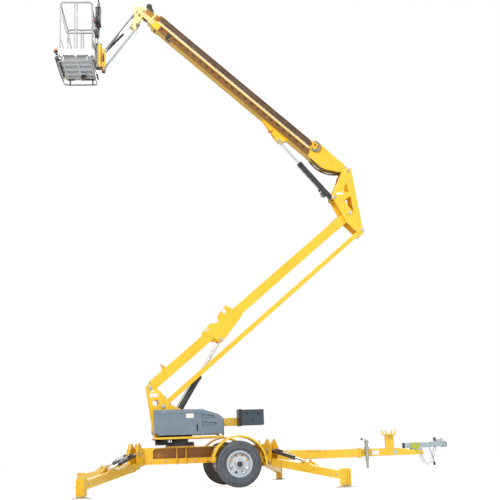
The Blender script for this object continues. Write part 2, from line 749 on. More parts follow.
# jack: top cap, crank arm and knob, and a plated swivel collar with its pin
form = bmesh.new()
jack_x, jack_y = 2.001, -0.125
for profile in (
    ((0.038, 0.665), (0.038, 0.690), (0.030, 0.700), (0.014, 0.704)),
    ((0.040, 0.385), (0.044, 0.389), (0.044, 0.399), (0.040, 0.403)),
    ((0.040, 0.560), (0.046, 0.564), (0.046, 0.600), (0.040, 0.604)),
):
    add_turned(form, profile, (jack_x, jack_y, 0), (0, 0, 1))
piece_from(form, "jack_collars", "chassis", galvanised)
pipe("jack_crank", "chassis", [
    (jack_x, jack_y, 0.728), (jack_x - 0.055, jack_y, 0.730), (jack_x - 0.100, jack_y, 0.735),
    (jack_x - 0.108, jack_y - 0.004, 0.742), (jack_x - 0.110, jack_y - 0.060, 0.745),
], 0.007, zinc)
form = bmesh.new()
knob = ((0.010, 0), (0.017, 0.006), (0.018, 0.030), (0.015, 0.052), (0.008, 0.058))
add_turned(form, knob, (jack_x - 0.110, jack_y - 0.050, 0.745), (0, -1, 0), 20)
piece_from(form, "jack_knob", "chassis", dark_plastic)

# coupler: end cap, hand lever, latch trigger, nose and the tongue's flange bolts
form = bmesh.new()
add_block(form, (2.757, 0, 0.600), (0.026, 0.096, 0.100))
add_block(form, (3.372, 0, 0.700), (0.030, 0.060, 0.070))
piece_from(form, "coupler_end_cap", "chassis", dark_plastic, bevel=0.006)
form = bmesh.new()
add_block(form, (3.430, 0, 0.668), (0.100, 0.046, 0.050), Matrix.Rotation(0.25, 3, "Y"))
add_block(form, (3.522, 0, 0.670), (0.018, 0.012, 0.110), Matrix.Rotation(-0.15, 3, "Y"))
add_block(form, (3.340, 0, 0.630), (0.120, 0.088, 0.050))
nose = ((0.058, 0), (0.060, 0.010), (0.055, 0.030), (0.036, 0.046), (0.012, 0.050))
add_turned(form, nose, (3.545, 0, 0.617), (0, 0, 1))
piece_from(form, "coupler_latch", "chassis", coupler_blue, bevel=0.005)
flange_bolts = [((1.909, y, z), (0, math.pi / 2, 0)) for y in (-0.063, 0.063) for z in (0.455, 0.545)]
flange_bolts += on_sides(0.0425, (2.96, 0.545), (3.08, 0.545))
repeat("tongue_bolts", "chassis", bolt_form(0.011, 0.010), flange_bolts, zinc)
form = bmesh.new()
for side in (-1, 1):
    bush = ((0.040, 0), (0.040, 0.008), (0.028, 0.008), (0.026, 0.003))
    add_turned(form, bush, (2.578, side * 0.047, 0.492), (0, side, 0), 28)
piece_from(form, "tongue_bushes", "chassis", zinc, bevel=0.002)

# lashing band round the coupler tube, folded over in yellow-green webbing
webbing = moulded("webbing", (0.62, 0.66, 0.05), (0.42, 0.47, 0.03), (0.65, 0.85), 0.5, 260)
form = bmesh.new()
for x, lean in ((2.905, 0.10), (2.975, -0.12), (3.035, 0.18)):
    for y, z, size in (
        (0, 0.6475, (0.046, 0.096, 0.005)), (0, 0.5525, (0.046, 0.096, 0.005)),
        (-0.0455, 0.600, (0.046, 0.005, 0.100)), (0.0455, 0.600, (0.046, 0.005, 0.100)),
    ):
        add_block(form, (x, y, z), size, Matrix.Rotation(lean, 3, "Y") if size[1] < 0.01 else None)
add_block(form, (2.950, -0.052, 0.575), (0.150, 0.006, 0.046), Matrix.Rotation(0.55, 3, "Y"))
add_block(form, (2.985, -0.055, 0.520), (0.040, 0.006, 0.110), Matrix.Rotation(-0.25, 3, "Y"))
piece_from(form, "lashing_band", "chassis", webbing, bevel=0.0015)


# Turret: two yellow side plates on a base plate, with black slewing gear and hoses below it. Blank
# white plates stand where the real machine has its notices.
def sticker_vinyl():
    """White vinyl with slight yellowing and a soft sheen."""
    m = Nodes("sticker_vinyl", "grey_paint")
    m.colour(m.ramp(m.noise(9, 5), ((0.3, (0.78, 0.77, 0.72)), (0.7, (0.86, 0.86, 0.84)))))
    m.rough(m.grey(m.noise(40, 3), 0.28, 0.42))
    m.bump(m.noise(300, 2), 0.08, 0.0004)
    return m.material


vinyl = sticker_vinyl()


def blank_label(name, body, low, high, y, out):
    """Blank label with rounded corners on an upright face."""
    (x0, z0), (x1, z1) = low, high
    r = min(x1 - x0, z1 - z0) * 0.12
    outline = []
    for cx, cz, first in ((x1 - r, z1 - r, 0), (x0 + r, z1 - r, 1), (x0 + r, z0 + r, 2), (x1 - r, z0 + r, 3)):
        for k in range(4):
            a = math.pi / 2 * (first + k / 3)
            outline.append((cx + r * math.cos(a), cz + r * math.sin(a)))
    form = bmesh.new()
    add_plate(form, outline, min(y, y + out), max(y, y + out))
    return piece_from(form, name, body, vinyl)


def slewing_neck(m):
    """The neck below the base plate is the slewing gear's black casting."""
    return ((m.band(m.distance_along((0, 0, 0), (0, 0, 1)), 0.5, 0.8655), (0.026, 0.028, 0.033)),)


turret_paint = paint("turret_paint", yellow_light, yellow_deep, yellow_dust, other=slewing_neck)
dress(turret_paint, "turret_frame")
hood_rear, hood_front, hood_bottom = -1.902, -0.678, 0.895
hood_mid, hood_long = (hood_rear + hood_front) / 2, hood_front - hood_rear
form = bmesh.new()
add_block(form, (hood_mid, 0, 0.87625), (hood_long - 0.012, 0.860, 0.0205))
for side in (-1, 1):
    add_block(form, (hood_mid, side * 0.4265, 0.8605), (hood_long - 0.016, 0.006, 0.018))
piece_from(form, "hood_base_plate", "turret", yellow, bevel=0.002)
dress(black, "slew_drive", "hydraulic_unit")
dress(dark_plastic, "battery_pack", "control_box")
for side, name in ((-1, "near"), (1, "far")):
    for label, low, high in (
        ("turret_label_", (-1.965, 1.600), (-1.815, 1.668)),
        ("turret_plate_", (-1.945, 1.690), (-1.885, 1.722)),
    ):
        blank_label(label + name, "turret", low, high, side * 0.158, side * 0.0015)
blank_label("tongue_label", "chassis", (2.120, 0.452), (2.255, 0.532), -0.0472, -0.0015)
turret_caps = on_sides(0.170, (-1.957, 1.769), (-1.732, 1.434), (-1.693, 0.932))
repeat("turret_pin_caps", "turret", cap_form(0.036), turret_caps, zinc)
tail_bolts = [((x, -0.1652, z), side_face[-1]) for x in (-0.602, -0.455) for z in (1.085, 1.163)]
tail_bolts += [((-0.53, -0.1652, 1.124), side_face[-1])]
repeat("tail_beam_bolts", "turret", bolt_form(0.009, 0.008), tail_bolts, zinc)
plate_bolts = on_sides(0.158, (-1.80, 1.52), (-1.68, 1.60), (-1.60, 1.48))
repeat("turret_plate_bolts", "turret", bolt_form(0.011), plate_bolts, zinc)
# slewing gear: motor flanges, gear-case ribs, and teeth round the ring's neck
form = bmesh.new()
for x in (-1.866, -1.806, -1.744):
    add_turned(form, ((0.056, 0), (0.058, 0.002), (0.058, 0.012), (0.056, 0.014)), (x, 0, 0.808), (1, 0, 0))
for y in (-0.05, 0.05):
    add_block(form, (-1.713, y * 1.25, 0.812), (0.090, 0.012, 0.100))
piece_from(form, "slew_motor_rings", "turret", black, bevel=0.002)
tooth = bmesh.new()
add_block(tooth, (0, 0, 0), (0.016, 0.012, 0.040))
teeth = [((slew_x + 0.247 * math.cos(a), 0.247 * math.sin(a), 0.766), (0, 0, a))
         for a in (math.tau * i / 90 for i in range(90))]
repeat("ring_teeth", "chassis", tooth, teeth, black)
for i, (y, low, x0, x1) in enumerate((
    (-0.150, 0.772, -1.870, -1.600), (-0.185, 0.792, -1.850, -1.640), (-0.215, 0.784, -1.880, -1.665),
)):
    hose(f"slew_hose_{i}", "turret", [
        (x0, y, 0.865), (x0 - 0.004, y, 0.838), (x0 + 0.020, y - 0.006, low),
        (x0 + 0.110, y - 0.010, low - 0.012),
        (x1 - 0.040, y - 0.006, low), (x1, y, 0.834), (x1 + 0.002, y, 0.865),
    ], 0.019)

# Covers: rotationally moulded grey-blue plastic over a yellow base plate. A bead runs along each
# cover's side, a black latch sits in its recess, and a blank label is stuck above it.
hood_grey = moulded(
    "hood_grey", (0.205, 0.262, 0.320), (0.160, 0.208, 0.262), (0.34, 0.50), 0.18, slot="hood_grey"
)
dress(hood_grey, "hood_near", "hood_far")
def cut_plate(form, outline, holes, low_y, high_y):
    """Adds a flat plate with an outline and openings in X and Z, between two places across."""
    curve = bpy.data.curves.new("plate_outline", "CURVE")
    curve.dimensions = "2D"
    curve.fill_mode = "BOTH"
    curve.extrude = (high_y - low_y) / 2
    for loop in (outline, *holes):
        spline = curve.splines.new("POLY")
        spline.points.add(len(loop) - 1)
        for point, (x, z) in zip(spline.points, loop):
            point.co = (x, z, 0, 1)
        spline.use_cyclic_u = True
    holder = stand("plate_outline", curve)
    mesh = finished_mesh(holder)
    bpy.data.objects.remove(holder)
    middle = (low_y + high_y) / 2
    for vert in mesh.vertices:
        x, z, y = vert.co
        vert.co = (x, y + middle, z)
    form.from_mesh(mesh)


def carve(name, node, body, cutter, material):
    """Copy of a CAD node's mesh with openings cut in it, which stands for the node."""
    form = bmesh.new()
    form.from_mesh(bpy.data.objects[node].data)
    bmesh.ops.remove_doubles(form, verts=form.verts, dist=0.00001)
    mesh = bpy.data.meshes.new(name)
    form.to_mesh(mesh)
    form.free()
    whole = stand(name + "_whole", mesh)
    tool = piece_from(cutter, name + "_cutter", None, material)
    cut = whole.modifiers.new("cut", "BOOLEAN")
    cut.operation = "DIFFERENCE"
    cut.solver = "EXACT"
    cut.object = tool
    result = bmesh.new()
    result.from_mesh(finished_mesh(whole))
    bpy.data.objects.remove(whole)
    bpy.data.objects.remove(tool)
    for face in result.faces:
        face.material_index = 0
    piece = piece_from(result, name, body, material, smooth=0.5)
    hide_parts(node)
    return piece


hood_pockets = (
    ((0.830, 0.290), (0.830, 0.376), (1.040, 0.352), (1.060, 0.322)),
    ((0.830, 0.168), (0.830, 0.252), (1.075, 0.226), (1.090, 0.196)),
    ((0.732, 0.080), (0.732, 0.200), (0.758, 0.200), (0.758, 0.080)),
)
for side, name in ((-1, "near"), (1, "far")):
    body = "hood_" + name
    face = side * 0.440
    form, liner = bmesh.new(), bmesh.new()
    for pocket in hood_pockets:
        shape = [(hood_rear + x, hood_bottom + z) for x, z in pocket]
        mid = [sum(p[i] for p in shape) / 4 for i in (0, 1)]
        rim = [tuple(p[i] + math.copysign(0.004, p[i] - mid[i]) for i in (0, 1)) for p in shape]
        cut_plate(form, shape, (), *sorted((face + side * 0.010, face - side * 0.012)))
        cut_plate(liner, rim, (shape,), *sorted((face - side * 0.0055, face - side * 0.022)))
        cut_plate(liner, rim, (), *sorted((face - side * 0.0215, face - side * 0.024)))
    carve("hood_shell_" + name, "hood_" + name, body, form, hood_grey)
    piece_from(liner, "hood_pockets_" + name, body, hood_grey, smooth=0.5)
    form = bmesh.new()
    bead = bmesh.ops.create_uvsphere(form, u_segments=16, v_segments=10, radius=0.013)
    for vert in bead["verts"]:
        x, y, z = vert.co
        vert.co = (hood_rear + 0.475 + (x * 1.2 + (0.390 if x > 0.001 else -0.390 if x < -0.001 else 0)),
                   face - side * 0.002 + y * 0.85, hood_bottom + 0.402 + z)
    piece_from(form, "hood_bead_" + name, body, hood_grey, smooth=1.5)
    form = bmesh.new()
    for x0, z0, x1, z1 in ((0.835, 0.296, 1.060, 0.328), (0.835, 0.174, 1.090, 0.202)):
        length = math.hypot(x1 - x0, z1 - z0)
        place = (hood_rear + (x0 + x1) / 2, face + side * 0.001, hood_bottom + (z0 + z1) / 2 - 0.010)
        add_block(form, place, (length, 0.010, 0.016), Matrix.Rotation(-math.atan2(z1 - z0, x1 - x0), 3, "Y"))
    piece_from(form, "hood_scoop_lips_" + name, body, hood_grey, bevel=0.0045)
    form = bmesh.new()
    add_block(form, (hood_rear + 0.745, face - side * 0.012, hood_bottom + 0.140), (0.020, 0.014, 0.108))
    add_block(form, (hood_rear + 0.745, face + side * 0.001, hood_bottom + 0.164), (0.016, 0.012, 0.050))
    add_turned(form, ((0.008, 0), (0.008, 0.006), (0.005, 0.008)),
               (hood_rear + 0.745, face - side * 0.004, hood_bottom + 0.100), (0, side, 0), 16)
    piece_from(form, "hood_latch_" + name, body, dark_plastic, bevel=0.003)
    blank_label("hood_label_" + name, body, (-1.352, 1.206), (-1.216, 1.292), face, side * 0.0015)
    screws = [((x, face + side * 0.0002, hood_bottom + 0.035), side_face[side])
              for x in (-1.78, -1.42, -1.06, -0.78)]
    repeat("hood_screws_" + name, body, bolt_form(0.006, 0.005), screws, zinc)


# Tool box on the tail beam: slate-grey moulded box in a black rubber frame, with a seam round its
# lid, two hinges and a latch.
def box_frame(m):
    """The black rubber frame at the box's rear."""
    return ((m.band(m.distance_along((-0.405, 0, 0), (1, 0, 0)), -0.1, 0.0495), (0.018, 0.019, 0.021)),)


slate = moulded(
    "box_slate", (0.052, 0.074, 0.098), (0.036, 0.054, 0.074), (0.40, 0.55), 0.2, 800, box_frame,
    slot="box_slate",
)
form = bmesh.new()
add_block(form, (-0.381, -0.290, 1.189), (0.048, 0.300, 0.298))
long_edges = [e for e in form.edges if abs((e.verts[0].co - e.verts[1].co).x) > 0.01]
bmesh.ops.bevel(form, geom=long_edges, offset=0.014, segments=3, affect="EDGES")
add_block(form, (-0.1585, -0.290, 1.189), (0.399, 0.276, 0.274))
box = piece_from(form, "tool_box_body", "turret", slate, bevel=0.005)
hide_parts("tool_box")
form = bmesh.new()
for z in (1.272, 1.306):
    for side in (-1, 1):
        add_block(form, (-0.166, -0.290 + side * 0.1385, z), (0.380, 0.005, 0.007))
add_block(form, (0.041, -0.290, 1.289), (0.005, 0.240, 0.008))
piece_from(form, "tool_box_ribs", "turret", slate, bevel=0.002)
form = bmesh.new()
for x in (-0.270, -0.060):
    add_block(form, (x, -0.4305, 1.262), (0.040, 0.008, 0.040))
add_block(form, (-0.165, -0.431, 1.128), (0.060, 0.012, 0.022))
add_turned(form, ((0.011, 0), (0.011, 0.007), (0.007, 0.009)), (-0.165, -0.427, 1.165), (0, -1, 0), 18)
piece_from(form, "tool_box_latch", "turret", black, bevel=0.003)


# Lower boom: a yellow box section between two pins, with welded side brackets for transport, a stop
# near its foot and a sleeve at its head. Two square links run parallel below it.
def along(start, angle, distance, below=0.0):
    """Place in X and Z a distance along a line, and a distance to the right of its direction."""
    a = math.radians(angle)
    return (
        start[0] + distance * math.cos(a) + below * math.sin(a),
        start[1] + distance * math.sin(a) - below * math.cos(a),
    )


def boom_turn(angle):
    """Turn of a block whose X runs along a boom."""
    a = math.radians(angle)
    run, across = Vector((math.cos(a), 0, math.sin(a))), Vector((0, 1, 0))
    return Matrix((run, across, run.cross(across))).transposed()


def lower_line(*points):
    """Places in X and Z from distances along the lower boom and below its axis."""
    return [along(lower_pivot, lower_angle, *point) for point in points]


lower_pivot, lower_angle, lower_length = (-1.957, 1.769), 40.0, 5.093
lower_top = along(lower_pivot, lower_angle, lower_length)
link_top = (lower_top[0] + 0.225, lower_top[1] - 0.335)
lower_eye = along(lower_pivot, lower_angle, 1.552, 0.188)
dress(yellow, "lower_boom", "parallel_link_near", "parallel_link_far")
bracket_outline = (
    (1.385, -0.050), (1.361, -0.121), (1.606, -0.160), (1.690, -0.092), (1.780, -0.092), (1.826, -0.184),
    (2.049, -0.227), (2.100, -0.091), (2.171, 0.111), (1.646, 0.226), (1.498, 0.235), (1.473, 0.077),
)
bracket_windows = (
    ((1.418, -0.107), (1.551, -0.129), (1.552, -0.100), (1.422, -0.094)),
    ((1.915, -0.194), (2.023, -0.208), (2.013, -0.127), (1.906, -0.125)),
)
form = bmesh.new()
for side in (-1, 1):
    ends = sorted((side * 0.0752, side * 0.0850))
    cut_plate(form, lower_line(*bracket_outline), [lower_line(*window) for window in bracket_windows], *ends)
    boss = ((0.040, 0.083), (0.040, 0.099), (0.037, 0.102))
    add_turned(form, boss, (lower_eye[0], 0, lower_eye[1]), (0, side, 0), 28)
    turned = boom_turn(lower_angle)
    for distance, size in ((1.485, (0.012, 0.020, 0.060)), (1.965, (0.012, 0.020, 0.080))):
        place = along(lower_pivot, lower_angle, distance - 0.060, -0.115 if distance < 1.6 else -0.160)
        add_block(form, (place[0], side * 0.086, place[1]), size, turned)
piece_from(form, "lower_boom_brackets", "lower_boom", yellow, smooth=0.5)
form = bmesh.new()
for y in (-0.040, 0.040):
    rib = lower_line((0.375, -0.090), (0.425, -0.150), (0.452, -0.090))
    cut_plate(form, rib, (), y - 0.004, y + 0.004)
stop = lower_line((0.445, -0.089), (0.420, -0.202), (0.432, -0.202), (0.459, -0.089))
cut_plate(form, stop, (), -0.072, 0.072)
piece_from(form, "lower_boom_stop", "lower_boom", yellow, smooth=0.5, bevel=0.002)
form = bmesh.new()
turned = boom_turn(lower_angle)
for below in (-0.094, 0.094):
    place = along(lower_pivot, lower_angle, lower_length - 0.225, below)
    add_block(form, (place[0], 0, place[1]), (0.330, 0.164, 0.006), turned)
for side in (-1, 1):
    place = along(lower_pivot, lower_angle, lower_length - 0.225)
    add_block(form, (place[0], side * 0.0785, place[1]), (0.330, 0.007, 0.194), turned)
piece_from(form, "lower_boom_sleeve", "lower_boom", yellow, bevel=0.003)
repeat("lower_eye_caps", "lower_boom", cap_form(0.030), on_sides(0.102, lower_eye), zinc)


# Lift cylinders: black barrels with a gland ring, a valve block at the foot and a steel pipe to the
# gland. Their rods are hard chrome.
dress(black, "lower_barrel", "upper_barrel", "jib_barrel")
dress(chrome, "lower_rod", "upper_rod", "jib_rod")
upper_pivot, upper_angle = (lower_top[0] + 0.015, lower_top[1] + 0.857), 139.3
upper_base = (upper_pivot[0] - 0.320, upper_pivot[1] - 0.549)
upper_eye = along(upper_pivot, upper_angle, 1.412, -0.403)
for name, base, eye in (("lower", (-1.693, 0.932), lower_eye), ("upper", upper_base, upper_eye)):
    body = name + "_barrel"
    start, end = Vector((base[0], 0, base[1])), Vector((eye[0], 0, eye[1]))
    length = (end - start).length
    axis = (end - start).normalized()
    across = Vector((0, 1, 0))
    out = axis.cross(across)
    turned = Matrix((axis, across, out)).transposed()
    form = bmesh.new()
    open_end = max((vert.co - start).dot(axis) for vert in bpy.data.objects[body].data.vertices)
    for at, wide, long in (
        (open_end - 0.060, 0.060, 0.050), (open_end - 0.092, 0.0555, 0.014),
        (0.640, 0.0545, 0.016), (0.345, 0.0545, 0.016),
    ):
        band = (
            (0.050, 0), (wide - 0.002, 0), (wide, 0.002),
            (wide, long - 0.002), (wide - 0.002, long), (0.050, long),
        )
        add_turned(form, band, start + axis * at, axis, 32, hollow=True)
    piece_from(form, name + "_gland", body, black)
    form = bmesh.new()
    add_block(form, start + axis * 0.180 + out * 0.078, (0.120, 0.070, 0.052), turned)
    add_block(form, start + axis * 0.285 + out * 0.070, (0.060, 0.050, 0.040), turned)
    piece_from(form, name + "_valve_block", body, black, bevel=0.005)
    form = bmesh.new()
    for at, y in ((0.150, -0.018), (0.205, -0.018), (0.178, 0.020)):
        add_turned(form, ((0.013, 0), (0.013, 0.016), (0.009, 0.018), (0.009, 0.030), (0.007, 0.032)),
                   start + axis * at + out * 0.103 + Vector((0, y, 0)), out, 6)
    piece_from(form, name + "_valve_plugs", body, zinc)
    pipes(name + "_cylinder_pipe", body, [[
        start + axis * 0.315 + out * 0.068, start + axis * 0.40 + out * 0.068,
        start + axis * (open_end - 0.15) + out * 0.068, start + axis * (open_end - 0.06) + out * 0.072,
        start + axis * (open_end - 0.040) + out * 0.056,
    ]], 0.008, zinc)


# Elbow: two yellow plates with triangular windows, a web between their long edges, and the pins of
# both booms, the links and the upper cylinder.
elbow_windows = (
    ((-0.128, 0.422), (0.004, 0.424), (-0.036, 0.606)), ((-0.107, 0.252), (0.033, 0.343), (0.081, 0.006)),
)
form = bmesh.new()
for window in elbow_windows:
    for side in (-1, 1):
        cut_plate(form, [(lower_top[0] + x, lower_top[1] + z) for x, z in window], (),
                  side * 0.136 - 0.012, side * 0.136 + 0.012)
carve("elbow_plates", "elbow", "elbow", form, yellow)
form = bmesh.new()
web = ((0.090, 0.697), (0.103, 0.697), (0.222, -0.190), (0.208, -0.190))
cut_plate(form, [(lower_top[0] + x, lower_top[1] + z) for x, z in web], (), -0.1302, 0.1302)
for x, z in (lower_top, link_top, upper_pivot, upper_base):
    for side in (-1, 1):
        add_turned(form, ((0.042, 0.141), (0.042, 0.147), (0.040, 0.149)), (x, 0, z), (0, side, 0), 28)
piece_from(form, "elbow_web", "elbow", yellow, smooth=0.5)
elbow_caps = on_sides(0.1492, lower_top, link_top, upper_pivot, upper_base)
repeat("elbow_pin_caps", "elbow", cap_form(0.033), elbow_caps, zinc)
bolt_steps = ((-0.255, 0.330), (0.055, 0.640), (0.150, 0.110), (-0.030, 0.800))
elbow_bolts = on_sides(0.142, *((lower_top[0] + x, lower_top[1] + z) for x, z in bolt_steps))
repeat("elbow_bolts", "elbow", bolt_form(0.009), elbow_bolts, zinc)
for side, name in ((-1, "near"), (1, "far")):
    blank_label("elbow_label_" + name, "elbow", (lower_top[0] - 0.250, lower_top[1] + 0.362),
                (lower_top[0] - 0.110, lower_top[1] + 0.404), side * 0.142, side * 0.0015)


# Upper boom: a base section with two sections inside it. Its near side carries a cable tray: a brown
# trough that holds a cable chain and a pale guide, with a cream ledge below and a row of slots under it.
def boom_bands(m):
    """Near side of the base section in brown, and cream along the ledge and round the sleeve."""
    a = math.radians(upper_angle)
    run = m.distance_along((upper_pivot[0], 0, upper_pivot[1]), (math.cos(a), 0, math.sin(a)))
    near = m.grey(m.distance_along((0, -0.070, 0), (0, -1, 0)), 0.0, 1.0, 0.0, 0.004)
    side = m.facing((0, -1, 0), 0.3, 0.7)
    return ((m.product(m.band(run, 0.80, 5.2), near, side), (0.205, 0.082, 0.008)),)


boom_paint = paint("boom_paint", yellow_light, yellow_deep, yellow_dust, other=boom_bands)
tray_brown = paint(
    "boom_brown", (0.250, 0.105, 0.030), (0.150, 0.062, 0.022), (0.42, 0.32, 0.22), (0.38, 0.55), 0.1,
    slot="boom_brown",
)
cream = paint("ledge_cream", (0.93, 0.72, 0.33), (0.86, 0.62, 0.22), (0.90, 0.82, 0.62))
dress(boom_paint, "upper_boom")


def slide_bands(m):
    """Near side of the sliding sections: brown shade over the upper half, cream below it."""
    a = math.radians(upper_angle)
    rise = m.distance_along((upper_pivot[0], 0, upper_pivot[1]), (math.sin(a), 0, -math.cos(a)))
    side = m.facing((0, -1, 0), 0.3, 0.7)
    return (
        (m.product(side, m.band(rise, -0.150, 0.10, 0.006)), (0.36, 0.155, 0.010)),
        (m.product(side, m.band(rise, -0.40, -0.150, 0.006)), (0.74, 0.56, 0.27)),
    )


slide_paint = paint("slide_paint", yellow_light, yellow_deep, yellow_dust, other=slide_bands)
dress(slide_paint, "boom_mid", "boom_fly")
turned = boom_turn(upper_angle)


def upper_place(distance, above, y=0.0):
    """Place on the upper boom: distance from its pivot, height over its top line, and across."""
    x, z = along(upper_pivot, upper_angle, distance, above)
    return Vector((x, y, z))


def upper_line(*points):
    """Places in X and Z from distances along the upper boom and heights over its top line."""
    return [along(upper_pivot, upper_angle, *point) for point in points]


root_outline = ((-0.063, 0.020), (-0.020, 0.044), (0.056, 0.046), (0.531, 0.068), (0.750, 0.074),
                (0.970, -0.009), (0.740, -0.288), (0.390, -0.284), (0.062, -0.102), (-0.040, -0.060))
centre = upper_place(0.345, -0.073)
root_hole = [(centre.x + 0.024 * math.cos(a), centre.z + 0.024 * math.sin(a))
             for a in (math.tau * i / 20 for i in range(20))]
form = bmesh.new()
for side in (-1, 1):
    ends = sorted((side * 0.0942, side * 0.1010))
    cut_plate(form, upper_line(*root_outline), [root_hole], *ends)
add_block(form, upper_place(0.42, 0.058), (0.62, 0.188, 0.006), turned)
add_block(form, upper_place(0.60, -0.2865), (0.36, 0.188, 0.006), turned)
piece_from(form, "boom_root_plates", "upper_boom", yellow, smooth=0.5)

tray_from, tray_to = 0.86, 4.72
tray_mid, tray_long = (tray_from + tray_to) / 2, tray_to - tray_from
form = bmesh.new()
add_block(form, upper_place(tray_mid, -0.074, -0.0935), (tray_long, 0.006, 0.136), turned)
add_block(form, upper_place(tray_mid, -0.008, -0.1065), (tray_long, 0.032, 0.006), turned)
piece_from(form, "cable_tray", "upper_boom", tray_brown, bevel=0.001)
form = bmesh.new()
add_block(form, upper_place(tray_mid, -0.156, -0.1085), (tray_long, 0.036, 0.030), turned)
add_block(form, upper_place(tray_mid, -0.136, -0.1245), (tray_long, 0.004, 0.012), turned)
piece_from(form, "cable_tray_ledge", "upper_boom", cream, bevel=0.002)

chain_black = moulded("chain_nylon", (0.165, 0.090, 0.046), (0.085, 0.046, 0.026), (0.45, 0.62), 0.2, 700)
guide_white = moulded(
    "guide_white", (0.72, 0.70, 0.66), (0.50, 0.48, 0.44), (0.40, 0.58), 0.2, 500, slot="grey_paint"
)


def chain_link(long, wide, high):
    """Side plate, crossbar and rounded ends of one cable-chain link, with X along the chain."""
    form = bmesh.new()
    add_block(form, (0, 0, 0), (long, wide, high))
    bmesh.ops.bevel(form, geom=list(form.edges), offset=min(wide, long) * 0.16, segments=1, affect="EDGES")
    for height in (0.28, -0.28):
        add_block(form, (0, -wide * 0.5, high * height), (long * 0.62, 0.003, high * 0.20))
    return form


run_turn = tuple(turned.to_euler())
for name, count, above, y, size, finish in (
    ("cable_chain", 86, -0.062, -0.108, (0.040, 0.022, 0.088), chain_black),
    ("cable_guide", 48, -0.1245, -0.107, (0.072, 0.018, 0.022), guide_white),
):
    links = [(upper_place(tray_from + 0.02 + (tray_long - 0.04) * (i + 0.5) / count, above, y), run_turn)
             for i in range(count)]
    repeat(name, "upper_boom", chain_link(*size), links, finish)
loop_grey = moulded(
    "loop_grey", (0.33, 0.35, 0.38), (0.20, 0.21, 0.23), (0.40, 0.55), 0.2, 700, slot="grey_paint"
)
links = []
ring = upper_place(0.797, -0.046, -0.128)
for i in range(15):
    a = math.radians(104 - 17.5 * i)
    place = ring + Vector((0.088 * math.cos(a), 0, 0.088 * math.sin(a)))
    run, across = Vector((math.sin(a), 0, -math.cos(a))), Vector((0, 1, 0))
    links.append((place, tuple(Matrix((run, across, run.cross(across))).transposed().to_euler())))
repeat("cable_chain_loop", "upper_boom", chain_link(0.030, 0.040, 0.036), links, loop_grey)
form = bmesh.new()
triangle = upper_line((0.950, -0.018), (0.770, 0.016), (0.752, -0.125))
window = upper_line((0.865, -0.030), (0.792, -0.014), (0.786, -0.075))
cut_plate(form, triangle, [window], -0.158, -0.150)
for distance, below in ((0.800, -0.010), (0.790, -0.090)):
    add_turned(form, ((0.010, 0.100), (0.010, 0.152)), upper_place(distance, below), (0, -1, 0), 12)
piece_from(form, "loop_bracket", "upper_boom", yellow, smooth=0.5, bevel=0.001)

# slots below the ledge, closed by black plugs, and the sleeve round the open end
slot_plug = bmesh.new()
outline = []
for centre, first in ((0.021, -90), (-0.021, 90)):
    for k in range(7):
        a = math.radians(first + 30 * k)
        outline.append((centre + 0.013 * math.cos(a), 0.013 * math.sin(a)))
add_plate(slot_plug, outline, -0.0025, 0.0025)
slots = [(upper_place(0.985 + 0.163 * i, -0.205, -0.0915), run_turn) for i in range(23)]
repeat("boom_slots", "upper_boom", slot_plug, slots, dark_plastic)
form = bmesh.new()
for below, y, size in (
    (0.004, 0, (0.150, 0.196, 0.008)), (-0.288, 0, (0.150, 0.196, 0.008)),
    (-0.142, 0.094, (0.150, 0.008, 0.300)), (-0.215, -0.094, (0.150, 0.008, 0.146)),
):
    add_block(form, upper_place(4.695, below, y), size, turned)
piece_from(form, "base_sleeve", "upper_boom", yellow, bevel=0.003)
form = bmesh.new()
add_block(form, upper_place(4.380, -0.225, -0.100), (0.050, 0.020, 0.140), boom_turn(upper_angle - 12))
add_block(form, upper_place(4.340, -0.292, -0.060), (0.110, 0.060, 0.018), turned)
add_block(form, upper_place(4.655, -0.322, -0.060), (0.026, 0.030, 0.070), boom_turn(upper_angle + 10))
piece_from(form, "boom_clamps", "upper_boom", black, bevel=0.003)
lever_red = paint("lever_red", (0.72, 0.13, 0.035), (0.58, 0.09, 0.025), (0.6, 0.4, 0.3))
form = bmesh.new()
add_block(form, upper_place(1.640, -0.352, -0.045), (0.026, 0.018, 0.060), boom_turn(upper_angle + 20))
add_block(form, upper_place(1.664, -0.396, -0.045), (0.070, 0.022, 0.024), boom_turn(upper_angle + 50))
piece_from(form, "release_lever", "upper_boom", lever_red, bevel=0.005)
repeat("upper_eye_caps", "upper_boom", cap_form(0.032), on_sides(0.0465, upper_eye), zinc)
bolt_steps = ((0.10, 0.012), (0.48, -0.230), (0.66, -0.250), (0.60, 0.040))
root_bolts = on_sides(0.101, *upper_line(*bolt_steps))
repeat("root_bolts", "upper_boom", bolt_form(0.010), root_bolts, zinc)
for i, y in enumerate((-0.074, 0.072)):
    hose(f"boom_root_hose_{i}", "upper_boom", [
        upper_place(0.700, -0.290, y), upper_place(0.640, -0.312, y), upper_place(0.520, -0.326, y),
        upper_place(0.360, -0.300, y), upper_place(0.225, -0.236, y), upper_place(0.130, -0.160, y * 0.9),
        upper_place(0.075, -0.105, y * 0.8),
    ], 0.026)

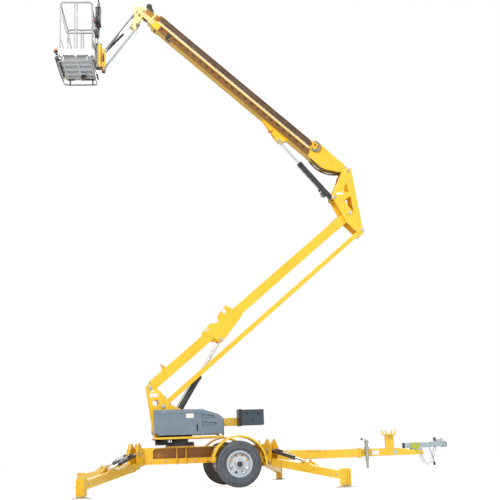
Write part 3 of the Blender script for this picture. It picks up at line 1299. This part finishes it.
# collars, wear-pad screws and rope pulley of the sliding sections
form = bmesh.new()
for below, y, size in (
    (-0.019, 0, (0.044, 0.160, 0.008)), (-0.265, 0, (0.044, 0.160, 0.008)),
    (-0.142, 0.078, (0.044, 0.008, 0.250)), (-0.142, -0.078, (0.044, 0.008, 0.250)),
):
    add_block(form, upper_place(4.855, below, y), size, turned)
piece_from(form, "mid_collar", "boom_mid", cream, bevel=0.002)
form = bmesh.new()
groove = ((0.056, -0.019), (0.056, -0.012), (0.046, -0.007), (0.046, 0.007), (0.056, 0.012), (0.056, 0.019))
pulley = upper_place(5.080, 0.032)
add_turned(form, groove, pulley, (0, 1, 0), 36)
add_turned(form, ((0.014, -0.034), (0.014, 0.034)), pulley, (0, 1, 0), 12)
piece_from(form, "rope_pulley", "boom_fly", dark_plastic, smooth=0.5)
form = bmesh.new()
cheek = upper_line(
    (4.930, -0.048), (5.058, -0.048), (5.122, 0.015), (5.096, 0.054), (5.050, 0.054), (4.960, 0.020),
)
for y in (-0.024, 0.024):
    cut_plate(form, cheek, (), y - 0.003, y + 0.003)
piece_from(form, "pulley_cheeks", "boom_fly", black, smooth=0.5)
form = bmesh.new()
for distance, below, size in ((4.955, -0.245, (0.070, 0.090, 0.014)), (4.965, -0.262, (0.020, 0.020, 0.040))):
    add_block(form, upper_place(distance, below), size, turned)
stem = turned @ Vector((0.2, 0, -1))
add_turned(form, ((0.0045, 0), (0.0045, 0.070)), upper_place(4.930, -0.030), stem, 10)
piece_from(form, "fly_fittings", "boom_fly", black, bevel=0.002)


# Head, jib and carrier: cream-yellow head plates with two windows, a grey jib tube with its thin
# levelling link, and the yellow carrier that turns the basket.
tip = along(upper_pivot, upper_angle, 5.085, -0.142)
head_pivot = (tip[0] - 0.144, tip[1] - 0.383)
head_link = (head_pivot[0], head_pivot[1] + 0.360)
jib_angle = 234.2
carrier_pivot = along(head_pivot, jib_angle, 1.063)
carrier_link = (carrier_pivot[0], carrier_pivot[1] + 0.360)
jib_eye = (head_pivot[0] - 0.091, head_pivot[1] + 0.090)
head_cream = paint("head_cream", (0.90, 0.70, 0.34), (0.82, 0.56, 0.18), (0.88, 0.80, 0.60))
form = bmesh.new()
for window in (
    ((0.000, 0.084), (0.092, 0.072), (0.034, 0.038)), ((0.034, -0.034), (0.098, -0.052), (0.048, -0.168)),
):
    for side in (-1, 1):
        cut_plate(form, [(head_link[0] + x, head_link[1] + z) for x, z in window], (),
                  side * 0.066 - 0.010, side * 0.066 + 0.010)
carve("head_plates", "head", "head", form, head_cream)
grey = paint("jib_grey", (0.36, 0.39, 0.41), (0.27, 0.30, 0.32), (0.52, 0.52, 0.50), (0.25, 0.40))
link_grey = paint("link_grey", (0.16, 0.18, 0.20), (0.11, 0.125, 0.14), (0.36, 0.36, 0.35), (0.28, 0.42))
dress(grey, "jib_tube")
dress(link_grey, "jib_link")
for name, body, places, out in (
    ("head_pin_caps", "head", (head_pivot, head_link, jib_eye), 0.0765),
    ("carrier_pin_caps", "carrier", (carrier_pivot, carrier_link), 0.0705),
):
    repeat(name, body, cap_form(0.021), on_sides(out, *places), zinc)
repeat("tip_pin_caps", "boom_fly", cap_form(0.024), on_sides(0.0805, tip), zinc)
for i, (dx, dz, radius) in enumerate(((0.030, 0.050, 0.034), (0.018, 0.078, 0.028))):
    centre = Vector((head_pivot[0] + dx, -0.086 - 0.012 * i, head_pivot[1] + dz))
    ring_points = [centre + Vector((radius * math.cos(a), -0.006 * math.sin(2 * a), radius * math.sin(a)))
                   for a in (math.tau * k / 10 for k in range(9))]
    pipe(f"jib_wire_loop_{i}", "head", ring_points, 0.005, rubber)
form = bmesh.new()
add_block(form, (head_pivot[0] + 0.050, -0.074, head_pivot[1] + 0.060), (0.060, 0.010, 0.024), boom_turn(60))
piece_from(form, "wire_clip", "head", black, bevel=0.002)


def carrier_foot(m):
    """Brown shade at the carrier's foot."""
    low = m.distance_along((0, 0, 7.905), (0, 0, -1))
    return ((m.grey(low, 0.0, 1.0, -0.01, 0.01), (0.30, 0.13, 0.02)),)


carrier_paint = paint(
    "carrier_paint", (0.92, 0.58, 0.06), (0.80, 0.46, 0.04), (0.84, 0.70, 0.45), other=carrier_foot
)
dress(carrier_paint, "carrier")
rotator_x = carrier_pivot[0] - 0.083
form = bmesh.new()
for z, high in ((8.050, 0.130), (8.235, 0.090)):
    add_block(form, (rotator_x + 0.060, 0, z), (0.050, 0.118, high))
for side in (-1, 1):
    window = [(rotator_x + x, z) for x, z in ((0.046, 8.000), (0.086, 8.015), (0.078, 8.150), (0.050, 8.190))]
    cut_plate(form, window, (), *sorted((side * 0.0702, side * 0.0725)))
piece_from(form, "carrier_recesses", "carrier", black, smooth=0.5)
form = bmesh.new()
collar = ((0.048, 0), (0.050, 0.004), (0.050, 0.022), (0.044, 0.028))
for z in (7.905, 8.370):
    add_turned(form, collar, (rotator_x, 0, z), (0, 0, 1), 28)
piece_from(form, "rotator_rings", "carrier", galvanised)


# Basket: welded aluminium tube, two bent hoops along its sides, posts between them, and a ribbed
# floor with a kick plate. A bumper tube hangs below the floor.
basket_turn = math.radians(-6.0)
floor_z = carrier_pivot[1] + 0.057
basket_x = Vector((-math.cos(basket_turn), -math.sin(basket_turn), 0))
basket_y = Vector((-basket_x.y, basket_x.x, 0))
basket_matrix = Matrix((basket_x, basket_y, Vector((0, 0, 1)))).transposed()


def in_basket(x, y, z):
    """Place in the basket's own frame: away from the boom, to the near side and above the floor."""
    return Vector((rotator_x, 0, floor_z)) + basket_x * x + basket_y * y + Vector((0, 0, z))


def bent_tube(form, corners, radius, bend, closed=False):
    """Adds a tube of straight runs joined by round bends, as a tube bender makes it."""
    path = []
    count = len(corners)
    for i, here in enumerate(corners):
        if not closed and i in (0, count - 1):
            path.append(here)
            continue
        before, after = corners[i - 1], corners[(i + 1) % count]
        u, v = (before - here).normalized(), (after - here).normalized()
        half = u.angle(v) / 2
        cut = bend / math.tan(half)
        centre = here + (u + v).normalized() * (bend / math.sin(half))
        first, last = here + u * cut - centre, here + v * cut - centre
        for k in range(7):
            t = k / 6
            path.append(centre + first.lerp(last, t).normalized() * bend)
    rings = []
    total = len(path)
    for i, place in enumerate(path):
        before = path[i - 1] if (i or closed) else place
        after = path[(i + 1) % total] if (i < total - 1 or closed) else place
        run = (after - before).normalized()
        side = run.orthogonal().normalized()
        if rings:
            side = (last_side - run * last_side.dot(run)).normalized()
        last_side = side
        other = run.cross(side)
        rings.append([
            form.verts.new(place + side * radius * math.cos(a) + other * radius * math.sin(a))
            for a in (math.tau * k / 14 for k in range(14))
        ])
    pairs = list(zip(rings, rings[1:])) + ([(rings[-1], rings[0])] if closed else [])
    for first, second in pairs:
        for k in range(14):
            j = (k + 1) % 14
            form.faces.new((first[k], first[j], second[j], second[k]))
    if not closed:
        form.faces.new(list(reversed(rings[0])))
        form.faces.new(rings[-1])


near_x, far_x, half_y = 0.074, 0.714, 0.600
rail, top_z, middle = 0.016, 1.054, 0.430
rail_grey = paint(
    "rail_grey", (0.33, 0.345, 0.355), (0.23, 0.24, 0.25), (0.50, 0.50, 0.49), (0.24, 0.38), slot="grey_paint"
)


def straight_tube(form, start, end, radius):
    """Adds a straight post or cross tube between two places in the basket's frame."""
    places = [in_basket(*start), in_basket(*(a / 2 + b / 2 for a, b in zip(start, end))), in_basket(*end)]
    bent_tube(form, places, radius, 0.02)


form = bmesh.new()
for side in (-1, 1):
    y = side * (half_y - rail)
    bent_tube(form, [
        in_basket(near_x + rail, y, middle - 0.001), in_basket(far_x - rail - 0.133, y, middle),
        in_basket(far_x - rail, y, top_z), in_basket(near_x + rail, y, top_z),
        in_basket(near_x + rail, y, 0.100),
    ], rail, 0.060)
    for x in (0.372, 0.416):
        straight_tube(form, (x, y, 0.100), (x, y, top_z - 0.010), 0.011)
    straight_tube(form, (far_x - 0.030, y, 0.100), (far_x - 0.030, y, 0.985), 0.010)
for x, z, radius in (
    (near_x + 0.034, top_z - 0.018, 0.013), (far_x - 0.043, top_z - 0.022, 0.013),
    (near_x + rail, middle - 0.060, 0.013), (far_x - 0.030, middle - 0.060, 0.009),
):
    straight_tube(form, (x, -0.584, z), (x, 0.584, z), radius)
for y in (-0.210, 0.210):
    straight_tube(form, (near_x + 0.034, y, 0.004), (near_x + 0.034, y, top_z - 0.018), 0.011)
for y in (-0.597, 0.597):
    straight_tube(form, (near_x + 0.010, y, -0.006), (far_x - 0.020, y, -0.006), 0.010)
rails = piece_from(form, "basket_hoops", "basket", rail_grey, smooth=0.9)
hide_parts("basket_rails")


def basket_block(form, place, size):
    """Adds a block that is square with the basket."""
    add_block(form, in_basket(*place), size, basket_matrix)


form = bmesh.new()
for y in (-0.480, -0.240, 0.0, 0.240, 0.480):
    basket_block(form, (0.394, y, -0.0275), (0.630, 0.036, 0.030))
aluminium = metal(
    "aluminium", (0.76, 0.77, 0.78), (0.64, 0.66, 0.67), (0.34, 0.50), (6, 1, 1), 30, 0.08, slot="aluminium"
)
dress(aluminium, "basket_floor")
dress(black, "basket_mount")
piece_from(form, "basket_floor_ribs", "basket", aluminium, bevel=0.003)
studs = []
for i in range(17):
    for k in range(33):
        slant = 0.785 if (i + k) % 2 else -0.785
        place = in_basket(near_x + 0.040 + i * 0.035, -0.560 + k * 0.035, 0.0005)
        studs.append((place, (0, 0, basket_turn + slant)))
stud = bmesh.new()
add_block(stud, (0, 0, 0.0006), (0.022, 0.005, 0.0016))
repeat("floor_tread", "basket", stud, studs, aluminium)
form = bmesh.new()
bumper_z = -0.128
corners_low = [in_basket(x, y, bumper_z) for x, y in (
    (near_x + 0.020, -0.570), (far_x + 0.016, -0.570), (far_x + 0.016, 0.570), (near_x + 0.020, 0.570))]
bent_tube(form, corners_low, 0.014, 0.070, closed=True)
for x in (near_x + 0.110, far_x - 0.090):
    for y in (-0.570, 0.570):
        basket_block(form, (x, y, -0.062), (0.030, 0.006, 0.130))
piece_from(form, "basket_bumper", "basket", rail_grey, smooth=0.9)

# padded roll along the far end, black corner sockets and brackets, warning lamp and reel
roll_black = moulded("roll_vinyl", (0.050, 0.053, 0.060), (0.030, 0.032, 0.037), (0.45, 0.60), 0.4, 120)
form = bmesh.new()
profile = [(0.030, -0.470), (0.040, -0.462), (0.042, -0.440)]
profile += [(0.042 - 0.0015 * (k % 2), -0.44 + 0.88 * k / 24) for k in range(1, 24)]
profile += [(0.042, 0.440), (0.040, 0.462), (0.030, 0.470)]
add_turned(form, profile, in_basket(far_x + 0.040, 0, -0.012), basket_y, 28)
piece_from(form, "end_roll", "basket", roll_black, smooth=0.9)
form = bmesh.new()
for x in (near_x + 0.016, far_x - 0.026):
    for y in (-0.584, 0.584):
        basket_block(form, (x, y, 0.052), (0.034, 0.030, 0.092))
for y, long in ((-0.320, 0.240), (0.320, 0.240)):
    basket_block(form, (near_x - 0.012, y, -0.060), (0.030, long, 0.040))
piece_from(form, "basket_sockets", "basket", black, bevel=0.004)
lamp_red = moulded("lamp_red", (0.86, 0.16, 0.045), (0.72, 0.10, 0.030), (0.18, 0.30), 0.1, 300)
lamp_place = in_basket(far_x + 0.050, 0.500, 0.112)
form = bmesh.new()
lens = [(0.044 * math.cos(math.pi / 2 * k / 6), 0.046 * math.sin(math.pi / 2 * k / 6)) for k in range(6)]
add_turned(form, [(0.044, -0.012)] + lens + [(0.006, 0.046)], lamp_place, (0, 0, 1), 28)
piece_from(form, "warning_lamp", "basket", lamp_red, smooth=0.9)
form = bmesh.new()
add_turned(form, ((0.047, -0.026), (0.047, -0.010)), lamp_place, (0, 0, 1), 28)
add_block(form, lamp_place + Vector((0.022, 0, -0.050)), (0.070, 0.050, 0.052), basket_matrix)
piece_from(form, "lamp_holder", "basket", dark_plastic, bevel=0.002)
form = bmesh.new()
reel = ((0.050, -0.020), (0.050, -0.014), (0.036, -0.012), (0.036, 0.012), (0.050, 0.014), (0.050, 0.020))
add_turned(form, reel, in_basket(far_x + 0.020, -0.330, -0.085), basket_x, 28)
piece_from(form, "lanyard_reel", "basket", webbing, smooth=0.5)
form = bmesh.new()
basket_block(form, (near_x + 0.190, -0.490, -0.050), (0.240, 0.050, 0.022))
basket_block(form, (near_x + 0.270, -0.410, -0.052), (0.100, 0.110, 0.026))
basket_block(form, (far_x - 0.120, -0.500, -0.050), (0.120, 0.040, 0.022))
piece_from(form, "floor_bearers", "basket", black, bevel=0.003)


# Basket controls: a moulded console with four levers under a guard bar, a lower switch box, and the
# hoses that join them. All of it is bolted to the two posts at the boom's end.
form = bmesh.new()
console = in_basket(0.0257, 0, 0.965)
basket_block(form, (0.0257, 0, 1.120), (0.092, 0.240, 0.140))
basket_block(form, (0.0257, 0, 1.197), (0.104, 0.256, 0.016))
basket_block(form, (0.050, 0, 0.700), (0.070, 0.150, 0.140))
basket_block(form, (0.040, -0.150, 0.800), (0.050, 0.080, 0.160))
piece_from(form, "control_panel", "basket", dark_plastic, bevel=0.008)
form = bmesh.new()
for z in (0.700, 0.905):
    straight_tube(form, (0.096, -0.210, z), (0.096, 0.210, z), 0.010)
piece_from(form, "console_bars", "basket", rail_grey, smooth=0.9)
lever_form = bmesh.new()
profile = (
    (0.014, 0), (0.016, 0.004), (0.012, 0.014), (0.005, 0.022),
    (0.0045, 0.058), (0.011, 0.062), (0.013, 0.074), (0.008, 0.084),
)
add_turned(lever_form, profile, (0, 0, 0), (0, 0, 1), 16)
levers = [(console + basket_y * y + Vector((0, 0, 0.239)), (0, 0, 0)) for y in (-0.085, -0.030, 0.030, 0.085)]
repeat("control_levers", "basket", lever_form, levers, dark_plastic)
form = bmesh.new()
for y in (-0.120, 0.120):
    basket_block(form, (0.0757, y, 0.925), (0.022, 0.050, 0.060))
piece_from(form, "console_straps", "basket", lever_red, bevel=0.002)
form = bmesh.new()
bent_tube(form, [
    in_basket(0.040, -0.150, 0.900), in_basket(0.010, -0.150, 1.390),
    in_basket(0.010, 0.150, 1.390), in_basket(0.040, 0.150, 0.900),
], 0.010, 0.045)
piece_from(form, "console_guard", "basket", black, smooth=0.9)
for i, (y, back, low) in enumerate(((-0.095, -0.020, 0.790), (0.020, 0.080, 0.778))):
    hose(f"control_hose_{i}", "basket", [
        in_basket(0.015, y, 0.881), in_basket(0.015, y, 0.850), in_basket(0.008, y, 0.812),
        in_basket(0.000, (y + back) / 2, low), in_basket(0.012, back, 0.812), in_basket(0.028, back, 0.850),
        in_basket(0.030, back, 0.881),
    ], 0.014)
bolts = [(in_basket(x, s * 0.6002, 0.052), (-s * math.pi / 2, 0, basket_turn))
         for x in (near_x + 0.016, far_x - 0.026) for s in (-1, 1)]
repeat("socket_bolts", "basket", bolt_form(0.006, 0.004), bolts, zinc)


# Studio: a white world seen by the camera and by shiny metal, a soft sky, a large key from upper
# left, a weak fill and a back light, and a pale floor.
world = bpy.data.worlds.new("studio")
world.use_nodes = True
bpy.context.scene.world = world
tree = world.node_tree
tree.nodes.clear()
seen = tree.nodes.new("ShaderNodeBackground")
seen.inputs["Color"].default_value = (1, 1, 1, 1)
seen.inputs["Strength"].default_value = 1.0
soft = tree.nodes.new("ShaderNodeBackground")
soft.inputs["Color"].default_value = (0.93, 0.96, 1, 1)
soft.inputs["Strength"].default_value = 0.35
path = tree.nodes.new("ShaderNodeLightPath")
either = tree.nodes.new("ShaderNodeMath")
either.operation = "MAXIMUM"
any_of = tree.nodes.new("ShaderNodeMath")
any_of.operation = "MAXIMUM"
blend = tree.nodes.new("ShaderNodeMixShader")
result = tree.nodes.new("ShaderNodeOutputWorld")
tree.links.new(path.outputs["Is Camera Ray"], either.inputs[0])
tree.links.new(path.outputs["Is Glossy Ray"], either.inputs[1])
tree.links.new(either.outputs[0], any_of.inputs[0])
tree.links.new(path.outputs["Is Transmission Ray"], any_of.inputs[1])
tree.links.new(any_of.outputs[0], blend.inputs[0])
tree.links.new(soft.outputs[0], blend.inputs[1])
tree.links.new(seen.outputs[0], blend.inputs[2])
tree.links.new(blend.outputs[0], result.inputs["Surface"])


def area_light(name, place, aim, size, power, colour=(1, 1, 1)):
    data = bpy.data.lights.new(name, "AREA")
    data.shape = "DISK"
    data.size = size
    data.energy = power
    data.color = colour
    light = stand(name, data)
    light.location = place
    light.rotation_euler = (Vector(aim) - Vector(place)).to_track_quat("-Z", "Y").to_euler()


area_light("key", (-9, -12, 15), (-1, 0, 3.5), 6, 2900, (1, 0.98, 0.95))
area_light("fill", (10, -13, 5), (0, 0, 3), 8, 500, (0.95, 0.97, 1))
area_light("back", (4, 12, 11), (-1, 0, 4), 7, 1300)

floor_mesh = bpy.data.meshes.new("floor")
floor_mesh.from_pydata([(-60, -60, 0), (60, -60, 0), (60, 60, 0), (-60, 60, 0)], [], [(0, 1, 2, 3)])
floor = stand("floor", floor_mesh)
floor_look = Nodes("floor")
pale = ((0.3, (0.87, 0.87, 0.87)), (0.7, (0.90, 0.90, 0.90)))
floor_look.colour(floor_look.ramp(floor_look.noise(3, 4), pale))
floor_look.shader.inputs["Roughness"].default_value = 0.9
glow = floor_look.add("ShaderNodeEmission", Strength=0.62)
summed = floor_look.add("ShaderNodeAddShader")
camera_ray = floor_look.add("ShaderNodeLightPath").outputs["Is Camera Ray"]
lit = floor_look.add("ShaderNodeMixShader")
output = [n for n in floor_look.tree.nodes if n.type == "OUTPUT_MATERIAL"][0]
floor_look.link(floor_look.shader.outputs[0], summed.inputs[0])
floor_look.link(glow.outputs[0], summed.inputs[1])
floor_look.link(camera_ray, lit.inputs[0])
floor_look.link(floor_look.shader.outputs[0], lit.inputs[1])
floor_look.link(summed.outputs[0], lit.inputs[2])
floor_look.link(lit.outputs[0], output.inputs["Surface"])
floor_mesh.materials.append(floor_look.material)
floor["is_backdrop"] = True

bpy.context.scene.view_settings.view_transform = "Standard"

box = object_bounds()
